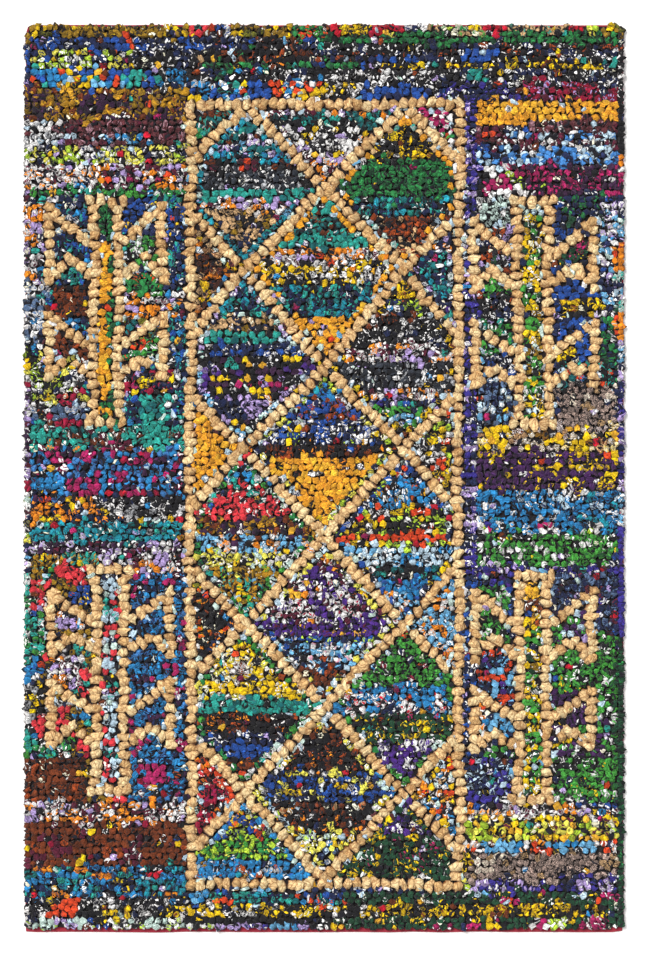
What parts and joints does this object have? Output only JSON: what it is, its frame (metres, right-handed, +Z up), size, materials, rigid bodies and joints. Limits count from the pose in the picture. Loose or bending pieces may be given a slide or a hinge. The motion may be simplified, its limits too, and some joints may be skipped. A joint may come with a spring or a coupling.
{
  "type": "hand-tufted rug",
  "caption": "Flat hand-tufted rug of rag loops, with a diamond lattice panel in ecru loops between striped bands with comb figures.",
  "frame": {"origin": "middle of the flat underside, where the rug meets the floor", "axes": "+X across the rug's width, +Y along its length towards the top edge in the picture, +Z up out of the pile"},
  "size_m": [1.2186, 1.8485, 0.0174],
  "materials": {
    "backing": "matte woven cotton",
    "pile": "matte cotton rag loops in many colours"
  },
  "bodies": {
    "root": {"backing": "backing", "pile": "pile"}
  },
  "joints": []
}
